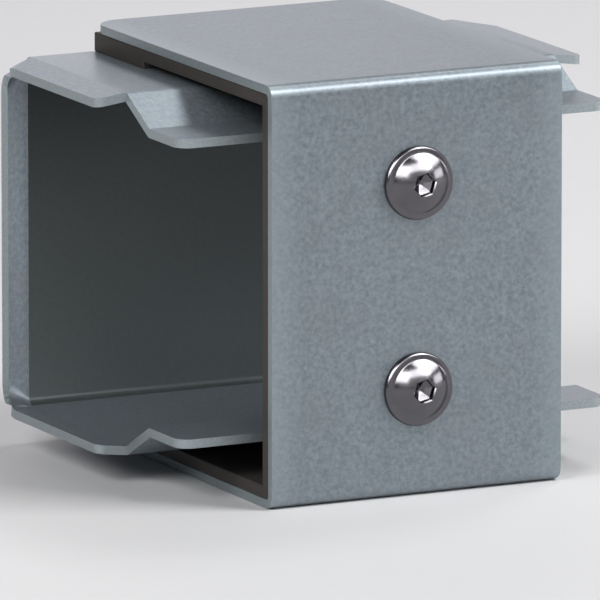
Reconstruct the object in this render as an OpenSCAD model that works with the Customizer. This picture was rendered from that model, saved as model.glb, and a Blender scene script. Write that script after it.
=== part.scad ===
// Trunking coupler: a folded channel that slides into two lengths of trunking,
// and a lined cover that two screws and a bar clamp to it.
// X runs along the trunking, the front is at low Y, and Z is up.
// The origin is the middle of the cover's bottom face.

/* [Trunking] */
// Outer height of the trunking that is joined
trunking_h = 50; // [46:0.5:75]
// Sheet thickness of the trunking
trunking_wall = 0.7; // [0.6:0.1:1]
// Clearance on each face of the trunking wall
slip = 0.1; // [0.05:0.05:0.3]

/* [Cover] */
// Width of the cover along the trunking
cover_w = 42.4; // [36:0.2:70]
// Depth of the cover, from its front face to the free edges at the back
cover_d = 54.2; // [50:0.2:64]
// Sheet thickness of the cover
cover_t = 1.2; // [1:0.1:1.5]
// Inner radius of the cover's two bends
cover_bend_r = 0.6; // [0.3:0.1:1.2]
// Radius of the free corners at the back
corner_r = 4; // [1:0.5:8]

/* [Gasket] */
// Thickness of the gasket
gasket_t = 1.7; // [1.2:0.1:2.5]
// Distance that the gasket stops short of the cover's free edges
gasket_set_back = 1.1; // [0.4:0.1:3]
// Depth of the foot that seats on the channel
foot_d = 15; // [8:0.5:22]

/* [Channel] */
// Sheet thickness of the channel
channel_t = 1.2; // [1:0.1:1.5]
// Inner radius of the bends between the back and the flanges
channel_bend_r = 1; // [0.5:0.1:2]
// Length of the channel between its end creases
channel_len = 62.9; // [56:0.1:110]
// Distance of the channel's middle from the cover's middle, along the trunking
channel_shift = 0.85; // [-2:0.05:2]
// Depth of the channel, from the lips' edges to its back
channel_d = 47; // [44:0.2:56]
// Distance from the gasket to the lips' edges
lip_gap = 5.1; // [3:0.1:7]
// Width of each lip
lip_w = 8.9; // [6:0.1:10]
// Step from a flange down to its lip
ramp_drop = 3.7; // [3:0.1:5]
// Depth over which the ramp takes that step
ramp_run = 6.9; // [6:0.1:8]
// Inner radius of the bends at the ramp
ramp_bend_r = 0.3; // [0.1:0.1:0.6]
// Radius of the lips' free corners
lip_corner_r = 2.1; // [0.5:0.1:4]

/* [Lead-in tongues] */
// Length of the tongue at each end
tongue_len = 4.4; // [3:0.1:8]
// Length by which the tongue is shorter at the back
back_set_back = 0.3; // [0:0.1:1]
// Radius of the tongue's free corners
tongue_corner_r = 1.3; // [0.5:0.1:2.5]
// Distance that the flange tongues lean inwards
flange_lean = 0.55; // [0.2:0.05:1]
// Distance that the back tongue leans inwards
back_lean = 1.55; // [0.5:0.05:2.5]
// Growth of the corner radius along a tongue
tongue_corner_growth = 2.4; // [0:0.1:3]
// Distance that the slit at each corner runs forward along the tongue
slit_run = 2.6; // [2:0.1:3.2]
// Width of that slit at the free end
slit_w = 0.35; // [0.2:0.05:0.6]

/* [Screws] */
// Distance between the two screws
screw_pitch = 27.4; // [24:0.2:30]
// Diameter of the screw thread
screw_d = 4; // [3.5:0.5:5]
// Length of thread that stands out behind the bar
screw_tip = 2.5; // [1:0.5:4]
// Clearance on the diameter of the cover's screw holes
hole_clearance = 0.5; // [0.2:0.1:1]
// Diameter of the collar under the head
collar_d = 9.8; // [9:0.1:12]
// Thickness of the collar
collar_t = 0.9; // [0.6:0.1:1.2]
// Diameter of the dome on the collar
dome_d = 7.8; // [7:0.1:8.5]
// Height of the dome above the collar
dome_h = 1.75; // [1.4:0.05:2.2]
// Size of the hexagon socket across its flats
socket_af = 2.7; // [2:0.1:3]
// Depth of the socket
socket_depth = 1.6; // [1.2:0.1:2]

/* [Clamp bar] */
// Width of the bar along the trunking
bar_w = 15; // [10:1:18]
// Thickness of the bar
bar_t = 4; // [3:0.5:4.5]
// Distance from the lips' inner edges back to the bar's front face
bar_set_back = 1.6; // [1.2:0.1:2]

/* [Hidden] */

steel_tint = "#9AA1A8";
gasket_tint = "#3E3B39";
screw_tint = "#B9BCC0";
bar_tint = "#8B9096";

// Chord points of a quarter bend, and the facets of a full circle
bend_steps = 8;
round_fn = 64;
// Length by which a cutting shape passes the faces that it cuts
over = 1;

// Heights, from the trunking outwards and inwards
cover_h = trunking_h + 2 * (slip + gasket_t + cover_t);
channel_h = trunking_h - 2 * (trunking_wall + slip);
mid_z = cover_h / 2;
flange_z = mid_z + channel_h / 2;
lip_z = flange_z - ramp_drop;

// Depths, from the cover's front face backwards
front_y = -cover_d / 2;
gasket_y = front_y + cover_t + gasket_t;
gasket_back_y = -front_y - gasket_set_back;
foot_y = gasket_back_y - foot_d;
lip_y = gasket_y + lip_gap;
ramp_low_y = lip_y + lip_w;
ramp_high_y = ramp_low_y + ramp_run;
back_y = lip_y + channel_d;
bar_y = ramp_low_y + bar_set_back;
screw_len = bar_y + bar_t + screw_tip - front_y;

// Unit vector from p to q
function heading(p, q) = (q - p) / norm(q - p);

// Left-hand normal of the line from p to q
function left_of(p, q) = let (h = heading(p, q)) [-h[1], h[0]];

// Signed sine of the turn at q, positive to the left
function turn(p, q, r) = cross(heading(p, q), heading(q, r));

// Corner of the path moved by t to its left, where the two moved lines meet
function moved_corner(p, q, r, t) =
    let (a = left_of(p, q), b = left_of(q, r)) q + (a + b) * t / (1 + a * b);

// Path moved by t to its left, with square ends
function moved_path(path, t) = [
    for (i = [0 : len(path) - 1])
        i == 0 ? path[0] + left_of(path[0], path[1]) * t
        : i == len(path) - 1 ? path[i] + left_of(path[i - 1], path[i]) * t
        : moved_corner(path[i - 1], path[i], path[i + 1], t)
];

// Points of the arc of radius r that rounds the corner q between p and s
function bend_arc(p, q, s, r) =
    let (
        a = heading(p, q),
        b = heading(q, s),
        side = sign(cross(a, b)),
        angle = acos(a * b),
        cut = r * tan(angle / 2),
        centre = q - a * cut + side * r * [-a[1], a[0]]
    )
    [
        for (k = [0 : bend_steps])
            let (w = side * angle * k / bend_steps, v = q - a * cut - centre)
            centre + [v[0] * cos(w) - v[1] * sin(w), v[0] * sin(w) + v[1] * cos(w)]
    ];

// Path whose inner corners are rounded by the radii given for them
function rounded_path(path, radii) = [
    path[0],
    for (i = [1 : len(path) - 2]) each bend_arc(path[i - 1], path[i], path[i + 1], radii[i - 1]),
    path[len(path) - 1]
];

// Outline of a folded sheet. The path is one face of it, and the sheet of
// thickness t lies to its left. Each fold is given by its inner radius.
function folded_sheet(path, folds, t) =
    let (
        inner = moved_path(path, t),
        lefts = [for (i = [1 : len(path) - 2]) turn(path[i - 1], path[i], path[i + 1]) > 0],
        near = [for (i = [0 : len(folds) - 1]) folds[i] + (lefts[i] ? t : 0)],
        far = [for (i = [0 : len(folds) - 1]) folds[i] + (lefts[i] ? 0 : t)],
        back = rounded_path(inner, far)
    )
    concat(rounded_path(path, near), [for (i = [len(back) - 1 : -1 : 0]) back[i]]);

// Height z mirrored about the middle of the coupler
function below(z) = cover_h - z;

// Outer face of the channel from the top lip round the back to the bottom lip,
// as [y, z]. It runs so that the sheet lies to its left.
function channel_path() = [
    [lip_y, below(lip_z)],
    [ramp_low_y, below(lip_z)],
    [ramp_high_y, below(flange_z)],
    [back_y, below(flange_z)],
    [back_y, flange_z],
    [ramp_high_y, flange_z],
    [ramp_low_y, lip_z],
    [lip_y, lip_z]
];

function channel_folds() = [
    ramp_bend_r, ramp_bend_r, channel_bend_r, channel_bend_r, ramp_bend_r, ramp_bend_r
];

// Outline of the channel's tongue, as [y, z], where it leans inwards by the
// given share of its full lean. It runs round the outer face, then back inside.
function tongue_section(share) =
    let (
        z = flange_z - flange_lean * share,
        y = back_y - back_lean * share,
        fold = channel_bend_r + tongue_corner_growth * share
    )
    folded_sheet(
        [[ramp_high_y, below(z)], [y, below(z)], [y, z], [ramp_high_y, z]],
        [fold, fold],
        channel_t
    );

// How far round the bend towards the back point k of n of that outline lies:
// 0 on a flange, 1 on the back
function back_share(k, n) =
    let (i = min(k, n - 1 - k), j = min(i, n / 2 - 1 - i))
    j == 0 ? 0 : (j - 1) / bend_steps;

// Points of the tongue's end face, which stops short at the back and is square
// to the leaning sheet there
function tongue_end() =
    let (
        outline = tongue_section(1),
        n = len(outline),
        slant = channel_t * back_lean / tongue_len,
        end_x = channel_len / 2 + tongue_len
    )
    [
        for (k = [0 : n - 1])
            let (short = back_set_back + (k < n / 2 ? 0 : slant))
            [end_x - short * back_share(k, n), outline[k][0], outline[k][1]]
    ];

// Outline of the slit that parts the lower flange's tongue from the back's, as
// [y, z], at the given share of the tongue's length. Its first corner side is
// the end of the flange's tongue, and its top is the lower end of the back's.
function slit_section(share) =
    let (
        y = back_y - channel_bend_r - channel_t - slit_run * share,
        z = below(flange_z) + channel_t + (flange_lean + slit_w) * share,
        low = below(flange_z) - over,
        back = back_y + over
    )
    [[y, low], [back, low], [back, z], [y, z]];

// Points of the given [y, z] outline at x
function at_x(x, outline) = [for (p = outline) [x, p[0], p[1]]];

// Solid between two outlines of a folded sheet with the same number of points.
// Each runs along the outer face and back along the inner one.
module lofted(start, end) {
    n = len(start);
    caps = [for (i = [0 : n / 2 - 2]) [i, i + 1, n - 2 - i, n - 1 - i]];
    polyhedron(
        concat(start, end),
        concat(
            caps,
            [for (cap = caps) for (f = [[3, 2, 1], [3, 1, 0]]) [for (k = f) n + cap[k]]],
            [for (i = [0 : n - 1]) [i, n + i, (i + 1) % n]],
            [for (i = [0 : n - 1]) [(i + 1) % n, n + i, n + (i + 1) % n]]
        ),
        convexity = 6
    );
}

// Extrusion of a [y, z] outline along X, centred
module along_x(width) {
    rotate([90, 0, 90]) linear_extrude(height = width, center = true, convexity = 6) children();
}

// Cylinder along Y whose near end is at y
module drill(d, y, depth) {
    translate([0, y, 0]) rotate([-90, 0, 0]) cylinder(d = d, h = depth, $fn = round_fn);
}

// Children at both screw positions
module at_screws() {
    for (side = [-1, 1]) translate([0, 0, mid_z + side * screw_pitch / 2]) children();
}

// Waste outside an upright rounded corner at [x, y] that points to +X and +Y
module corner_waste(x, y, r) {
    translate([x - r, y - r, -over]) difference() {
        cube([r + over, r + over, cover_h + 2 * over]);
        cylinder(r = r, h = cover_h + 2 * over, $fn = round_fn);
    }
}

module channel_end() {
    lofted(at_x(channel_len / 2, tongue_section(0)), tongue_end());
}

// Waste of the slit at a lower corner, which passes the tongue's free end
module slit_waste() {
    share = 1 + over / tongue_len;
    start = at_x(channel_len / 2, slit_section(0));
    lofted(start, at_x(channel_len / 2 + share * tongue_len, slit_section(share)));
}

module channel() {
    color(steel_tint) translate([channel_shift, 0, 0]) difference() {
        union() {
            along_x(channel_len)
                polygon(folded_sheet(channel_path(), channel_folds(), channel_t));
            for (side = [0, 1]) mirror([side, 0, 0]) channel_end();
        }
        for (side = [0, 1]) mirror([side, 0, 0]) mirror([0, 1, 0]) {
            corner_waste(channel_len / 2, -lip_y, lip_corner_r);
            corner_waste(channel_len / 2 + tongue_len, -ramp_high_y, tongue_corner_r);
        }
        for (side = [0, 1]) mirror([side, 0, 0]) {
            slit_waste();
            translate([0, 0, cover_h]) mirror([0, 0, 1]) slit_waste();
        }
    }
}

module cover() {
    color(steel_tint) difference() {
        along_x(cover_w) polygon(folded_sheet(
            [[-front_y, cover_h], [front_y, cover_h], [front_y, 0], [-front_y, 0]],
            [cover_bend_r, cover_bend_r],
            cover_t
        ));
        for (side = [0, 1]) mirror([side, 0, 0]) corner_waste(cover_w / 2, -front_y, corner_r);
        at_screws() drill(screw_d + hole_clearance, front_y - over, cover_t + 2 * over);
    }
}

// Outline of the gasket, with its outer corners in the cover's bends
function gasket_section() =
    let (
        y = front_y + cover_t,
        top = cover_h - cover_t,
        outer = [[gasket_back_y, top], [y, top], [y, cover_t], [gasket_back_y, cover_t]],
        inner = moved_path(outer, gasket_t)
    )
    concat(
        rounded_path(outer, [cover_bend_r, cover_bend_r]),
        [for (i = [len(inner) - 1 : -1 : 0]) inner[i]]
    );

// One foot, from the gasket's face down to the channel's flange
module foot() {
    slot = trunking_wall + 2 * slip;
    translate([-cover_w / 2, foot_y, flange_z]) cube([cover_w, foot_d, slot]);
}

module gasket() {
    color(gasket_tint) difference() {
        union() {
            along_x(cover_w) polygon(gasket_section());
            foot();
            translate([0, 0, cover_h]) mirror([0, 0, 1]) foot();
        }
        at_screws() drill(screw_d + hole_clearance, front_y, cover_t + gasket_t + over);
    }
}

// Screw along Y, with its head in front of the face at front_y
module screw() {
    dome_r = (pow(dome_d / 2, 2) + pow(dome_h, 2)) / (2 * dome_h);
    head_h = collar_t + dome_h;
    color(screw_tint) translate([0, front_y, 0]) rotate([90, 0, 0]) difference() {
        union() {
            translate([0, 0, -screw_len]) cylinder(d = screw_d, h = screw_len, $fn = round_fn);
            cylinder(d = collar_d, h = collar_t, $fn = round_fn);
            translate([0, 0, collar_t]) intersection() {
                translate([0, 0, dome_h - dome_r]) sphere(r = dome_r, $fn = round_fn);
                cylinder(d = dome_d, h = dome_h, $fn = round_fn);
            }
        }
        translate([0, 0, head_h - socket_depth])
            cylinder(d = socket_af / cos(30), h = socket_depth + over, $fn = 6);
    }
}

module screw_upper() {
    translate([0, 0, mid_z + screw_pitch / 2]) screw();
}

module screw_lower() {
    translate([0, 0, mid_z - screw_pitch / 2]) screw();
}

// Height of the ramp's inner face at depth y
function ramp_inner_z(y) =
    let (
        slope = atan(ramp_drop / ramp_run),
        y0 = ramp_low_y + channel_t * sin(slope),
        z0 = lip_z - channel_t * cos(slope)
    )
    z0 + (y - y0) * tan(slope);

module clamp_bar() {
    z0 = ramp_inner_z(bar_y);
    z1 = ramp_inner_z(bar_y + bar_t);
    color(bar_tint) difference() {
        along_x(bar_w) polygon([
            [bar_y, below(z0)],
            [bar_y + bar_t, below(z1)],
            [bar_y + bar_t, z1],
            [bar_y, z0]
        ]);
        at_screws() drill(screw_d, bar_y - over, bar_t + 2 * over);
    }
}

channel();
cover();
gasket();
screw_upper();
screw_lower();
clamp_bar();
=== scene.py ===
"""Looks of a trunking coupler: folded galvanised sheet, a rubber liner and two polished screws.

Lengths are metres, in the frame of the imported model: X along the trunking, the front at low Y, Z up.
"""

import math

import bmesh
import bpy
import numpy as np
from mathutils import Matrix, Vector
from mathutils.bvhtree import BVHTree


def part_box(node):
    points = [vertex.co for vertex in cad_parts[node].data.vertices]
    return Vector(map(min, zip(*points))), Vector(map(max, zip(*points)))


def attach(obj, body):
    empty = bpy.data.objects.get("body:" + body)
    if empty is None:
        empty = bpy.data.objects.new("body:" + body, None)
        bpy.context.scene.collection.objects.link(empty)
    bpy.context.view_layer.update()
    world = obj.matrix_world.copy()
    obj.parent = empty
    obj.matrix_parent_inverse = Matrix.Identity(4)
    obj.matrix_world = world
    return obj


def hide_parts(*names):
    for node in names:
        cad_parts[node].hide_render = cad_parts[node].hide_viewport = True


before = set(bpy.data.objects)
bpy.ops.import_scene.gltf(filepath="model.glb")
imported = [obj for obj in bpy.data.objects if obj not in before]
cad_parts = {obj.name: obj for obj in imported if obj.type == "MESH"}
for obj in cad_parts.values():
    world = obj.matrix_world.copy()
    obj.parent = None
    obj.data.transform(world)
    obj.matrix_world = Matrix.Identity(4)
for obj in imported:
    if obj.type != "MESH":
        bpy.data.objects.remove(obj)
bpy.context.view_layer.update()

MM = 0.001

# Boxes of the nodes, lowest and highest corner
COVER_LOW, COVER_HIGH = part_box("cover")
CHANNEL_LOW, CHANNEL_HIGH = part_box("channel")

# The sheet's thickness and the channel's inner bend radius
SHEET_T = 1.2 * MM
INNER_BEND = 1.0 * MM

# A face is a cut where the metal behind it is deeper than this, measured from just under the face
CUT_DEPTH = 1.15 * SHEET_T
PROBE_GAP = 0.01 * MM

# Normals of the channel's inner back: how far they face the front at least, and lean sideways at most
FACING_FRONT = 0.2
SIDEWAYS = 0.02

# Rounded edges, and the angles from which an edge is rounded or drawn sharp
FOLD_EDGE = 0.10 * MM
RUBBER_EDGE = 0.25 * MM
BAR_EDGE = 0.35 * MM
BEVEL_STEPS = 2
BEVEL_ANGLE = math.radians(40)
SHEET_SHARP = math.radians(24)
SCREW_SHARP = math.radians(32)

# Points closer than this are one, and faces within this angle are one flat
MERGE_GAP = 0.002 * MM
FLAT_ANGLE = math.radians(0.5)

# The screw's head, a dome on a collar. The rim's round starts at RIM_START degrees above the plate
COLLAR_T = 0.9 * MM
COLLAR_ROUND = 0.50 * MM
COLLAR_FALL = 0.12 * MM
COLLAR_FOOT = 0.10 * MM
RIM_START = 80.0
RIM_STEPS = 8
DOME_R = 4.1 * MM
DOME_STEPS = 26
DOME_FILLET = 0.60 * MM
FILLET_START = 0.12 * MM
FILLET_CORNER = 0.05 * MM
FILLET_FALL = 0.02 * MM
FILLET_STEPS = 6

# Its hexagon socket. The cone's rings are shares of the socket's radius and of the cone's depth,
# and the wall's rings are shares of the wall's height
SOCKET_AF = 2.7 * MM
SOCKET_DEPTH = 1.2 * MM
SOCKET_CHAMFER = 0.14 * MM
SOCKET_CORNER = 0.03 * MM
SOCKET_CONE = 0.80 * MM
SOCKET_TURN = math.radians(12)
CONE_RINGS = ((0.02, 1.0), (0.5, 0.5), (0.97, 0.0))
WALL_SHARES = np.linspace(0.15, 1.0, 5)

# Its neck, thread and tip. The groove's slope and flat are shares of the thread's depth
NECK_LENGTH = 0.6 * MM
NECK_INSET = 0.1 * MM
THREAD_PITCH = 0.7 * MM
THREAD_DEPTH = 0.38 * MM
THREAD_R = 2.0 * MM
THREAD_RINGS = 8
GROOVE_SLOPE = 1.15
GROOVE_FLAT = 0.1
TIP_CHAMFER = 0.5 * MM
TIP_INSET = 0.75 * TIP_CHAMFER
TIP_ROOM = 0.1 * MM
TIP_FLAT_R = 0.2 * MM
ANGLE_STEPS = 96

# Grain of the frosted zinc and its soft clouds, both as wide as the photograph shows them
ZINC_GRAIN = 0.62 * MM
ZINC_CLOUD = 5.0 * MM
# Width of the painted light along the cover's left and right cuts: paler zinc where the plate is lit
# brighter
LIT_EDGE_BAND = 4.5 * MM
# Shear marks lie about 0.15 mm apart, too fine to show, and are drawn twice as coarse
SHEAR_MARK = 0.3 * MM
# A mould's grain is about 0.2 mm wide, too fine to show, and is drawn coarser
RUBBER_GRAIN = 0.5 * MM
RUBBER_CLOUD = 9.0 * MM
# Patches where the polishing wheel left the steel a little hazier
POLISH_PATCH = 1.6 * MM
# A drawing die's lines are about 0.05 mm wide, too fine to show, and are drawn coarser
DRAWN_LINE = 0.18 * MM
LINE_STRETCH = 0.04
FLOOR_CLOUD = 300 * MM

# The floor's half side and its gap under the coupler, and the height that the lights are turned to
FLOOR_HALF = 4.0
FLOOR_DROP = 0.05 * MM
LIGHT_HEIGHT = 30 * MM

# The camera, fitted to the photograph's edges, with its angles in degrees
VIEW_AZIMUTH = -26.50
VIEW_ELEVATION = 11.31
VIEW_DISTANCE = 1777.8 * MM
VIEW_AIM = Vector((-15.53, -23.91, 26.92)) * MM
VIEW_LENS = 820.0
SENSOR = 36.0
CLIP_NEAR, CLIP_FAR = 0.1, 20.0

# The colour mix's sockets are given by number, because several of them share a name
MIX_A, MIX_B, MIX_OUT = 6, 7, 2


def linear(hex_colour):
    """Linear RGBA of an sRGB hex colour. A dark part is divided by 12.92. A lighter one gets 0.055
    added, is divided by 1.055 and is raised to the power of 2.4."""
    parts = [int(hex_colour[start:start + 2], 16) / 255 for start in (1, 3, 5)]
    light = [part / 12.92 if part <= 0.04045 else ((part + 0.055) / 1.055) ** 2.4 for part in parts]
    return (*light, 1.0)


def direction(azimuth, elevation):
    """Unit vector to a side. Azimuth runs from the front to the right, both angles in degrees."""
    across = math.radians(azimuth)
    up = math.radians(elevation)
    return Vector((math.sin(across) * math.cos(up), -math.cos(across) * math.cos(up), math.sin(up)))


def connect(tree, node, inputs):
    """Sets a node's inputs. An input is a value, or the output socket that it is linked to."""
    for key, value in inputs.items():
        if isinstance(value, bpy.types.NodeSocket):
            tree.links.new(value, node.inputs[key])
        else:
            node.inputs[key].default_value = value


def add(tree, kind, inputs, out=None, **settings):
    """Adds a node with its settings and inputs, and gives its output out, or the node itself."""
    node = tree.nodes.new(kind)
    for name, value in settings.items():
        setattr(node, name, value)
    connect(tree, node, inputs)
    return node if out is None else node.outputs[out]


def new_material(name):
    """An empty material with its shader, and the Object coordinates that its patterns read."""
    material = bpy.data.materials.new(name)
    material.use_nodes = True
    tree = material.node_tree
    tree.nodes.clear()
    shader = add(tree, "ShaderNodeBsdfPrincipled", {})
    add(tree, "ShaderNodeOutputMaterial", {"Surface": shader.outputs["BSDF"]})
    place = add(tree, "ShaderNodeTexCoord", {}, "Object")
    return material, tree, shader, place


def galvanised_sheet(name, half_width=None):
    """Hot-dip galvanised sheet: matt blue-grey zinc with a fine frosted grain and faint clouds,
    and sheared edges where the zinc is smeared over bare steel.

    With half_width, the zinc turns paler over the last few millimetres before the cuts at that
    distance on both sides of the middle, as painted light where the plate is lit brighter towards its
    ends."""
    material, tree, shader, place = new_material(name)
    axes = add(tree, "ShaderNodeSeparateXYZ", {"Vector": place})
    # Frosted grain, with its contrast raised
    frost = add(tree, "ShaderNodeTexNoise", {
        "Vector": place, "Scale": 1.0 / ZINC_GRAIN, "Detail": 3.0, "Roughness": 0.72}, "Fac")
    share = add(tree, "ShaderNodeMapRange", {"Value": frost, "From Min": 0.32, "From Max": 0.68}, "Result")
    zinc = add(tree, "ShaderNodeMix", {
        "Factor": share, MIX_A: linear("#78838B"), MIX_B: linear("#99A3AA")}, MIX_OUT, data_type="RGBA")
    # Faint warmer clouds
    clouds = add(tree, "ShaderNodeTexNoise", {"Vector": place, "Scale": 1.0 / ZINC_CLOUD}, "Fac")
    share = add(tree, "ShaderNodeMapRange", {
        "Value": clouds, "From Min": 0.25, "From Max": 0.75, "To Max": 0.35}, "Result")
    zinc = add(tree, "ShaderNodeMix", {
        "Factor": share, MIX_A: zinc, MIX_B: linear("#888C92")}, MIX_OUT, data_type="RGBA")
    # Painted light: paler bands before the cuts, where the plate is lit brighter
    if half_width:
        distance = add(tree, "ShaderNodeMath", {0: axes.outputs["X"]}, "Value", operation="ABSOLUTE")
        share = add(tree, "ShaderNodeMapRange", {
            "Value": distance, "From Min": half_width - LIT_EDGE_BAND, "From Max": half_width,
            "To Max": 0.45}, "Result")
        zinc = add(tree, "ShaderNodeMix", {
            "Factor": share, MIX_A: zinc, MIX_B: linear("#A3B0B6")}, MIX_OUT, data_type="RGBA")
    # Painted shade on the inner face of the back: darker zinc, darkest towards its top, where the upper
    # flange shades it
    low = add(tree, "ShaderNodeMix", {
        "Factor": frost, MIX_A: linear("#595F60"), MIX_B: linear("#6B7172")}, MIX_OUT, data_type="RGBA")
    high = add(tree, "ShaderNodeMix", {
        "Factor": frost, MIX_A: linear("#25292A"), MIX_B: linear("#353A3B")}, MIX_OUT, data_type="RGBA")
    share = add(tree, "ShaderNodeMapRange", {
        "Value": axes.outputs["Z"], "From Min": CHANNEL_LOW.z, "From Max": CHANNEL_HIGH.z}, "Result")
    shaded_zinc = add(tree, "ShaderNodeMix", {
        "Factor": share, MIX_A: low, MIX_B: high}, MIX_OUT, data_type="RGBA")
    painted_shade = add(tree, "ShaderNodeAttribute", {}, "Fac", attribute_name="painted_shade", attribute_type="GEOMETRY")
    zinc = add(tree, "ShaderNodeMix", {
        "Factor": painted_shade, MIX_A: zinc, MIX_B: shaded_zinc}, MIX_OUT, data_type="RGBA")
    # Cuts of steel with the marks of the shear
    marks = add(tree, "ShaderNodeTexNoise", {
        "Vector": place, "Scale": 1.0 / SHEAR_MARK, "Detail": 1.0}, "Fac")
    steel = add(tree, "ShaderNodeMix", {
        "Factor": marks, MIX_A: linear("#8D989C"), MIX_B: linear("#ADB6B9")}, MIX_OUT, data_type="RGBA")
    cut = add(tree, "ShaderNodeAttribute", {}, "Fac", attribute_name="cut", attribute_type="GEOMETRY")
    colour = add(tree, "ShaderNodeMix", {
        "Factor": cut, MIX_A: zinc, MIX_B: steel}, MIX_OUT, data_type="RGBA")
    roughness = add(tree, "ShaderNodeMapRange", {
        "Value": frost, "From Min": 0.25, "From Max": 0.75, "To Min": 0.38, "To Max": 0.47}, "Result")
    relief = add(tree, "ShaderNodeBump", {
        "Height": frost, "Strength": 0.3, "Distance": 0.015 * MM}, "Normal")
    # Frosted zinc is less of a mirror than clean metal, which gives the matt look
    connect(tree, shader, {
        "Base Color": colour, "Roughness": roughness, "Normal": relief, "Metallic": 0.60})
    return material


def gasket_rubber():
    """Moulded dark rubber: matt brown-black with a fine grain from the mould."""
    material, tree, shader, place = new_material("moulded_rubber")
    grain = add(tree, "ShaderNodeTexNoise", {
        "Vector": place, "Scale": 1.0 / RUBBER_GRAIN, "Detail": 3.0, "Roughness": 0.6}, "Fac")
    share = add(tree, "ShaderNodeMapRange", {"Value": grain, "From Min": 0.25, "From Max": 0.75}, "Result")
    colour = add(tree, "ShaderNodeMix", {
        "Factor": share, MIX_A: linear("#37322F"), MIX_B: linear("#4A4541")}, MIX_OUT, data_type="RGBA")
    clouds = add(tree, "ShaderNodeTexNoise", {"Vector": place, "Scale": 1.0 / RUBBER_CLOUD}, "Fac")
    share = add(tree, "ShaderNodeMapRange", {
        "Value": clouds, "From Min": 0.25, "From Max": 0.75, "To Max": 0.4}, "Result")
    colour = add(tree, "ShaderNodeMix", {
        "Factor": share, MIX_A: colour, MIX_B: linear("#35302E")}, MIX_OUT, data_type="RGBA")
    roughness = add(tree, "ShaderNodeMapRange", {
        "Value": grain, "From Min": 0.25, "From Max": 0.75, "To Min": 0.52, "To Max": 0.66}, "Result")
    relief = add(tree, "ShaderNodeBump", {
        "Height": grain, "Strength": 0.4, "Distance": 0.03 * MM}, "Normal")
    connect(tree, shader, {"Base Color": colour, "Roughness": roughness, "Normal": relief, "IOR": 1.5})
    return material


def polished_steel():
    """Polished stainless steel: a clear dark mirror with faint, uneven polishing."""
    material, tree, shader, place = new_material("polished_steel")
    haze = add(tree, "ShaderNodeTexNoise", {
        "Vector": place, "Scale": 1.0 / POLISH_PATCH, "Detail": 3.0}, "Fac")
    colour = add(tree, "ShaderNodeMix", {
        "Factor": haze, MIX_A: linear("#5F5D61"), MIX_B: linear("#6B696D")}, MIX_OUT, data_type="RGBA")
    roughness = add(tree, "ShaderNodeMapRange", {
        "Value": haze, "From Min": 0.25, "From Max": 0.75, "To Min": 0.17, "To Max": 0.22}, "Result")
    connect(tree, shader, {"Base Color": colour, "Roughness": roughness, "Metallic": 1.0})
    return material


def zinc_plated_bar():
    """Drawn flat bar with bright zinc plating: fine lines along X and a slight blue cast."""
    material, tree, shader, place = new_material("zinc_plated_bar")
    along = add(tree, "ShaderNodeMapping", {"Vector": place, "Scale": (LINE_STRETCH, 1.0, 1.0)}, "Vector")
    lines = add(tree, "ShaderNodeTexNoise", {"Vector": along, "Scale": 1.0 / DRAWN_LINE}, "Fac")
    share = add(tree, "ShaderNodeMapRange", {"Value": lines, "From Min": 0.25, "From Max": 0.75}, "Result")
    colour = add(tree, "ShaderNodeMix", {
        "Factor": share, MIX_A: linear("#8B9299"), MIX_B: linear("#B3B9BF")}, MIX_OUT, data_type="RGBA")
    roughness = add(tree, "ShaderNodeMapRange", {
        "Value": lines, "From Min": 0.25, "From Max": 0.75, "To Min": 0.26, "To Max": 0.42}, "Result")
    relief = add(tree, "ShaderNodeBump", {
        "Height": lines, "Strength": 0.3, "Distance": 0.01 * MM}, "Normal")
    connect(tree, shader, {
        "Base Color": colour, "Roughness": roughness, "Normal": relief, "Metallic": 1.0})
    return material


def studio_paint(name):
    """Matt pale paint of the studio floor, with a very faint unevenness."""
    material, tree, shader, place = new_material(name)
    clouds = add(tree, "ShaderNodeTexNoise", {"Vector": place, "Scale": 1.0 / FLOOR_CLOUD}, "Fac")
    share = add(tree, "ShaderNodeMapRange", {
        "Value": clouds, "From Min": 0.25, "From Max": 0.75, "To Max": 0.3}, "Result")
    colour = add(tree, "ShaderNodeMix", {
        "Factor": share, MIX_A: linear("#EDEDEE"), MIX_B: linear("#D8D8D9")}, MIX_OUT, data_type="RGBA")
    connect(tree, shader, {"Base Color": colour, "Roughness": 0.7})
    return material


def merged_copy(node):
    """A closed copy of a node's mesh: doubles merged, and flat areas freed of their inner edges."""
    shape = bmesh.new()
    shape.from_mesh(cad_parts[node].data)
    bmesh.ops.remove_doubles(shape, verts=shape.verts, dist=MERGE_GAP)
    bmesh.ops.dissolve_limit(shape, angle_limit=FLAT_ANGLE, verts=shape.verts, edges=shape.edges)
    return shape


def mark_cuts(shape):
    """Sets the face attribute cut to 1 where the metal behind a face is deeper than the sheet is
    thick, as it is behind a sheared edge and not behind the face of the sheet."""
    cut = shape.faces.layers.float.new("cut")
    tree = BVHTree.FromBMesh(shape)
    for face in shape.faces:
        start = face.calc_center_median_weighted() - face.normal * PROBE_GAP
        distance = tree.ray_cast(start, -face.normal)[3]
        face[cut] = float(distance is None or distance > CUT_DEPTH)


def mark_shaded_back(shape):
    """Sets the face attribute of the painted shade to 1 on the inner face of the back and in its inner
    bends, which are drawn darker than the rest of the zinc as painted shade. The slanted tongues stay
    bright."""
    painted_shade = shape.faces.layers.float.new("painted_shade")
    back_y = max(vert.co.y for vert in shape.verts) - SHEET_T
    for face in shape.faces:
        near = face.calc_center_median().y > back_y - INNER_BEND
        face[painted_shade] = float(near and face.normal.y < -FACING_FRONT and abs(face.normal.x) < SIDEWAYS)


def place_piece(name, mesh, sharp_angle, node, material):
    """Puts a mesh into the scene as a smooth piece that rides on the body and stands for its node."""
    mesh.shade_smooth()
    mesh.set_sharp_from_angle(angle=sharp_angle)
    mesh.materials.append(material)
    piece = bpy.data.objects.new(name, mesh)
    bpy.context.scene.collection.objects.link(piece)
    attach(piece, "root")
    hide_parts(node)
    return piece


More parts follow.
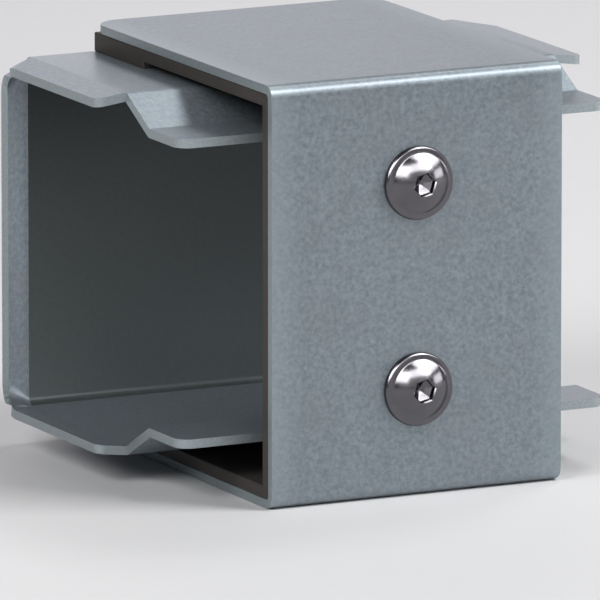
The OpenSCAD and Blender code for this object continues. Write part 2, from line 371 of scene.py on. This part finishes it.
def edged_piece(node, name, edge, material, slot):
    """A piece that stands for a node, with its form and rounded edges. A sheet's cuts are marked,
    and so is the channel's inner back, for its painted shade."""
    shape = merged_copy(node)
    if slot == "galvanised_sheet":
        mark_cuts(shape)
    if node == "channel":
        mark_shaded_back(shape)
    mesh = bpy.data.meshes.new(name)
    shape.to_mesh(mesh)
    shape.free()
    piece = place_piece(name, mesh, SHEET_SHARP, node, material)
    bevel = piece.modifiers.new("edges", "BEVEL")
    bevel.width = edge
    bevel.segments = BEVEL_STEPS
    bevel.limit_method = "ANGLE"
    bevel.angle_limit = BEVEL_ANGLE
    bevel.harden_normals = True
    return piece


def arc(centre, radius, start, end, steps):
    """Points of an arc as rows of [r, u]: the centre, plus the radius times the cosine and the sine
    of the angles from start to end, in degrees."""
    angle = np.radians(np.linspace(start, end, steps + 1))
    return np.stack([centre[0] + radius * np.cos(angle), centre[1] + radius * np.sin(angle)], axis=1)


def bend(start, corner, end, steps):
    """Points of the curve from start to end that a quadratic Bezier with that corner gives."""
    share = np.linspace(0.0, 1.0, steps + 1)[:, None]
    return (1 - share) ** 2 * start + 2 * share * (1 - share) * corner + share ** 2 * end


def head_rings(head_h, collar_r, angle):
    """The head's rings as two arrays of [ring, angle], the radius and the height over the plate.

    The rings run from the socket's coned floor up its six flat walls and their chamfer, over the
    spherical dome, a fillet, the collar and its rounded rim, and in to the neck. In the socket the
    radius is that of a hexagon: half the width across the flats, divided by the cosine of the angle
    from the middle of the nearest flat. Over the dome the hexagon turns to circles."""
    hexagon = SOCKET_AF / 2 / np.cos((angle % (math.pi / 3)) - math.pi / 6)
    # The dome is the cap of a sphere, whose radius follows from the cap's half width and height
    dome_h = head_h - COLLAR_T
    dome_round = (DOME_R ** 2 + dome_h ** 2) / (2 * dome_h)

    def on_dome(radius):
        """Height of the dome at a radius: that of the sphere's centre, plus the root of the sphere's
        radius squared less the radius squared."""
        return head_h - dome_round + np.sqrt(dome_round ** 2 - radius ** 2)

    # The socket
    floor_u = head_h - SOCKET_DEPTH
    wall_h = on_dome(hexagon + SOCKET_CHAMFER) - SOCKET_CHAMFER - floor_u
    rings = [(share * hexagon, floor_u - depth * SOCKET_CONE) for share, depth in CONE_RINGS]
    rings += [(hexagon, floor_u + SOCKET_CORNER)]
    rings += [(hexagon, floor_u + share * wall_h) for share in WALL_SHARES]
    # The dome
    knee_r = DOME_R - FILLET_START
    for share in np.linspace(0.0, 1.0, DOME_STEPS):
        radius = hexagon + SOCKET_CHAMFER + share * (knee_r - hexagon - SOCKET_CHAMFER)
        radius += share * (1 - share) * (SOCKET_AF / 2 - hexagon)
        rings += [(radius, on_dome(radius))]
    # The fillet, the collar's rim and the way in to the neck
    knee = np.array([knee_r, on_dome(knee_r)])
    corner = np.array([DOME_R + FILLET_CORNER, COLLAR_T])
    collar = np.array([DOME_R + DOME_FILLET, COLLAR_T - FILLET_FALL])
    rim_centre = (collar_r - COLLAR_ROUND, COLLAR_T - COLLAR_FALL - COLLAR_ROUND)
    rings += list(bend(knee, corner, collar, FILLET_STEPS)[1:])
    rings += list(arc(rim_centre, COLLAR_ROUND, RIM_START, 0.0, RIM_STEPS))
    rings += [(collar_r, COLLAR_FOOT), (collar_r - COLLAR_FOOT, 0.0)]
    rings += [(THREAD_R, 0.0), (THREAD_R - NECK_INSET, -NECK_LENGTH)]
    radius = np.stack([np.broadcast_to(ring[0], ANGLE_STEPS) for ring in rings])
    height = np.stack([np.broadcast_to(ring[1], ANGLE_STEPS) for ring in rings])
    return radius, height


def shank_rings(length, angle):
    """The shank's rings as two arrays of [ring, angle], the radius and the height over the plate.

    The radius is the thread's, less a triangle wave of height plus angle, which is the helix of the
    groove, and less the tip's chamfer over its last stretch."""
    down = np.arange(-NECK_LENGTH, -length + TIP_ROOM, -THREAD_PITCH / THREAD_RINGS)[:, None]
    phase = (down / THREAD_PITCH + angle[None, :] / (2 * math.pi)) % 1.0
    groove = THREAD_DEPTH * np.clip(GROOVE_SLOPE * np.abs(2 * phase - 1) - GROOVE_FLAT, 0.0, 1.0)
    taper = np.clip((down + length) / TIP_CHAMFER, 0.0, 1.0)
    thread = THREAD_R - np.maximum(groove, TIP_INSET * (1 - taper))
    tip = np.full((1, ANGLE_STEPS), TIP_FLAT_R)
    radius = np.concatenate([thread, tip])
    height = np.concatenate([np.repeat(down, ANGLE_STEPS, axis=1), np.full_like(tip, -length)])
    return radius, height


def screw_grid(head_h, collar_r, length):
    """Grid of the screw's surface as [ring, angle, (x, u, z)], u outwards from the plate: each ring's
    radius is turned into x and z by the cosine and the sine of its angle."""
    angle = np.linspace(0.0, 2 * math.pi, ANGLE_STEPS, endpoint=False)
    head_radius, head_height = head_rings(head_h, collar_r, angle)
    shank_radius, shank_height = shank_rings(length, angle)
    radius = np.concatenate([head_radius, shank_radius])
    height = np.concatenate([head_height, shank_height])
    return np.stack([radius * np.cos(angle), height, radius * np.sin(angle)], axis=2)


def closed_tube_faces(rings, steps):
    """Quads between neighbouring rings, and one face that closes each end."""
    ring, step = np.meshgrid(np.arange(rings - 1), np.arange(steps), indexing="ij")
    after = (step + 1) % steps
    quads = np.stack([ring * steps + step, ring * steps + after,
                      (ring + 1) * steps + after, (ring + 1) * steps + step], axis=2)
    ends = [list(range(steps))[::-1], list(range((rings - 1) * steps, rings * steps))]
    return quads.reshape(-1, 4).tolist() + ends


def screw(node, name, turn, material):
    """A screw in place of its plain node, with its socket turned by turn radians."""
    low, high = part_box(node)
    plate_y = COVER_LOW.y
    centre = ((low.x + high.x) / 2, (low.z + high.z) / 2)
    grid = screw_grid(plate_y - low.y, (high.x - low.x) / 2, high.y - plate_y)
    x = grid[..., 0] * math.cos(turn) - grid[..., 2] * math.sin(turn)
    z = grid[..., 0] * math.sin(turn) + grid[..., 2] * math.cos(turn)
    points = np.stack([centre[0] + x, plate_y - grid[..., 1], centre[1] + z], axis=2)
    mesh = bpy.data.meshes.new(name)
    mesh.from_pydata(points.reshape(-1, 3).tolist(), [], closed_tube_faces(*points.shape[:2]))
    shape = bmesh.new()
    shape.from_mesh(mesh)
    bmesh.ops.recalc_face_normals(shape, faces=shape.faces)
    shape.to_mesh(mesh)
    shape.free()
    return place_piece(name, mesh, SCREW_SHARP, node, material)


def floor(half, material):
    """A flat square floor, just under the coupler."""
    corners = [(-half, -half), (half, -half), (half, half), (-half, half)]
    mesh = bpy.data.meshes.new("floor")
    mesh.from_pydata([(x, y, -FLOOR_DROP) for x, y in corners], [], [(0, 1, 2, 3)])
    mesh.materials.append(material)
    piece = bpy.data.objects.new("floor", mesh)
    bpy.context.scene.collection.objects.link(piece)


def softbox(name, azimuth, elevation, size, radiance, only=None, tint="#FFFFFF"):
    """A rectangular area light of size (width, height), one metre from the coupler and turned to it.

    Azimuth runs from the front to the right, in degrees. The power is pi times radiance and area.
    With a collection in only, the light reaches nothing but its objects."""
    light = bpy.data.lights.new(name, "AREA")
    light.shape = "RECTANGLE"
    light.size, light.size_y = size
    light.energy = math.pi * radiance * size[0] * size[1]
    light.color = linear(tint)[:3]
    lamp = bpy.data.objects.new(name, light)
    way = direction(azimuth, elevation)
    lamp.location = way + Vector((0.0, 0.0, LIGHT_HEIGHT))
    lamp.rotation_euler = way.to_track_quat("Z", "Y").to_euler()
    lamp.visible_camera = False
    lamp.light_linking.receiver_collection = only
    bpy.context.scene.collection.objects.link(lamp)


def studio_air(colour, strength):
    """Even light from all sides."""
    world = bpy.data.worlds.new("studio_air")
    world.use_nodes = True
    tree = world.node_tree
    tree.nodes.clear()
    sky = add(tree, "ShaderNodeBackground", {"Color": linear(colour), "Strength": strength}, "Background")
    add(tree, "ShaderNodeOutputWorld", {"Surface": sky})
    bpy.context.scene.world = world


def camera():
    """The camera at the photograph's angle."""
    back = direction(VIEW_AZIMUTH, VIEW_ELEVATION)
    data = bpy.data.cameras.new("camera")
    data.lens = VIEW_LENS
    data.sensor_width = SENSOR
    data.clip_start, data.clip_end = CLIP_NEAR, CLIP_FAR
    seat = bpy.data.objects.new("camera", data)
    seat.location = VIEW_AIM + back * VIEW_DISTANCE
    seat.rotation_euler = (-back).to_track_quat("-Z", "Y").to_euler()
    bpy.context.scene.collection.objects.link(seat)
    bpy.context.scene.camera = seat


# The materials
channel_zinc = galvanised_sheet("hot_dip_zinc")
cover_zinc = galvanised_sheet("hot_dip_zinc_cover", COVER_HIGH.x)
rubber = gasket_rubber()
steel = polished_steel()
bar = zinc_plated_bar()

# The pieces. The channel and the screws have collections of their own, for lights that only they get
channel = bpy.data.collections.new("channel")
channel.objects.link(edged_piece("channel", "channel_sheet", FOLD_EDGE, channel_zinc, "galvanised_sheet"))
edged_piece("cover", "cover_sheet", FOLD_EDGE, cover_zinc, "galvanised_sheet")
edged_piece("gasket", "gasket_liner", RUBBER_EDGE, rubber, "gasket_rubber")
edged_piece("clamp_bar", "tapped_bar", BAR_EDGE, bar, "bar_steel")
screws = bpy.data.collections.new("screws")
for node, name in (("screw_upper", "cap_screw_upper"), ("screw_lower", "cap_screw_lower")):
    screws.objects.link(screw(node, name, SOCKET_TURN, steel))

# The studio. Each light has its azimuth and elevation in degrees, its size in metres and its radiance
floor(FLOOR_HALF, studio_paint("studio_floor"))
studio_air("#F6F7FA", 0.03)
softbox("front_softbox", 32, 34, (0.50, 0.40), 1.8)
softbox("side_softbox", -66, 36, (0.60, 0.50), 5.8)
softbox("low_right_softbox", 66, 8, (0.50, 0.25), 5.5)
softbox("bend_softbox", 49, 52, (0.35, 0.18), 26.0)
softbox("key_light", 122, 58, (0.25, 0.25), 7.0)
softbox("back_softbox", 158, 8, (0.60, 0.25), 1.8, tint="#FFF9FF")
softbox("high_back_softbox", 170, 33, (0.60, 0.40), 1.5, tint="#FFF9FF")
# Light that only the channel receives, because its inside is too dark without it
softbox("channel_softbox", -12, 42, (0.60, 0.40), 4.5, channel)
# Reflector cards that only the screws mirror
softbox("left_card", -50, 28, (1.20, 0.50), 8.0, screws)
softbox("middle_card", 12, 34, (1.30, 0.30), 7.5, screws)
softbox("high_right_card", 62, 49, (1.10, 0.95), 8.0, screws)
softbox("low_card", 0, 14, (1.70, 0.45), 0.65, screws)
camera()
bpy.context.scene.view_settings.view_transform = "Standard"
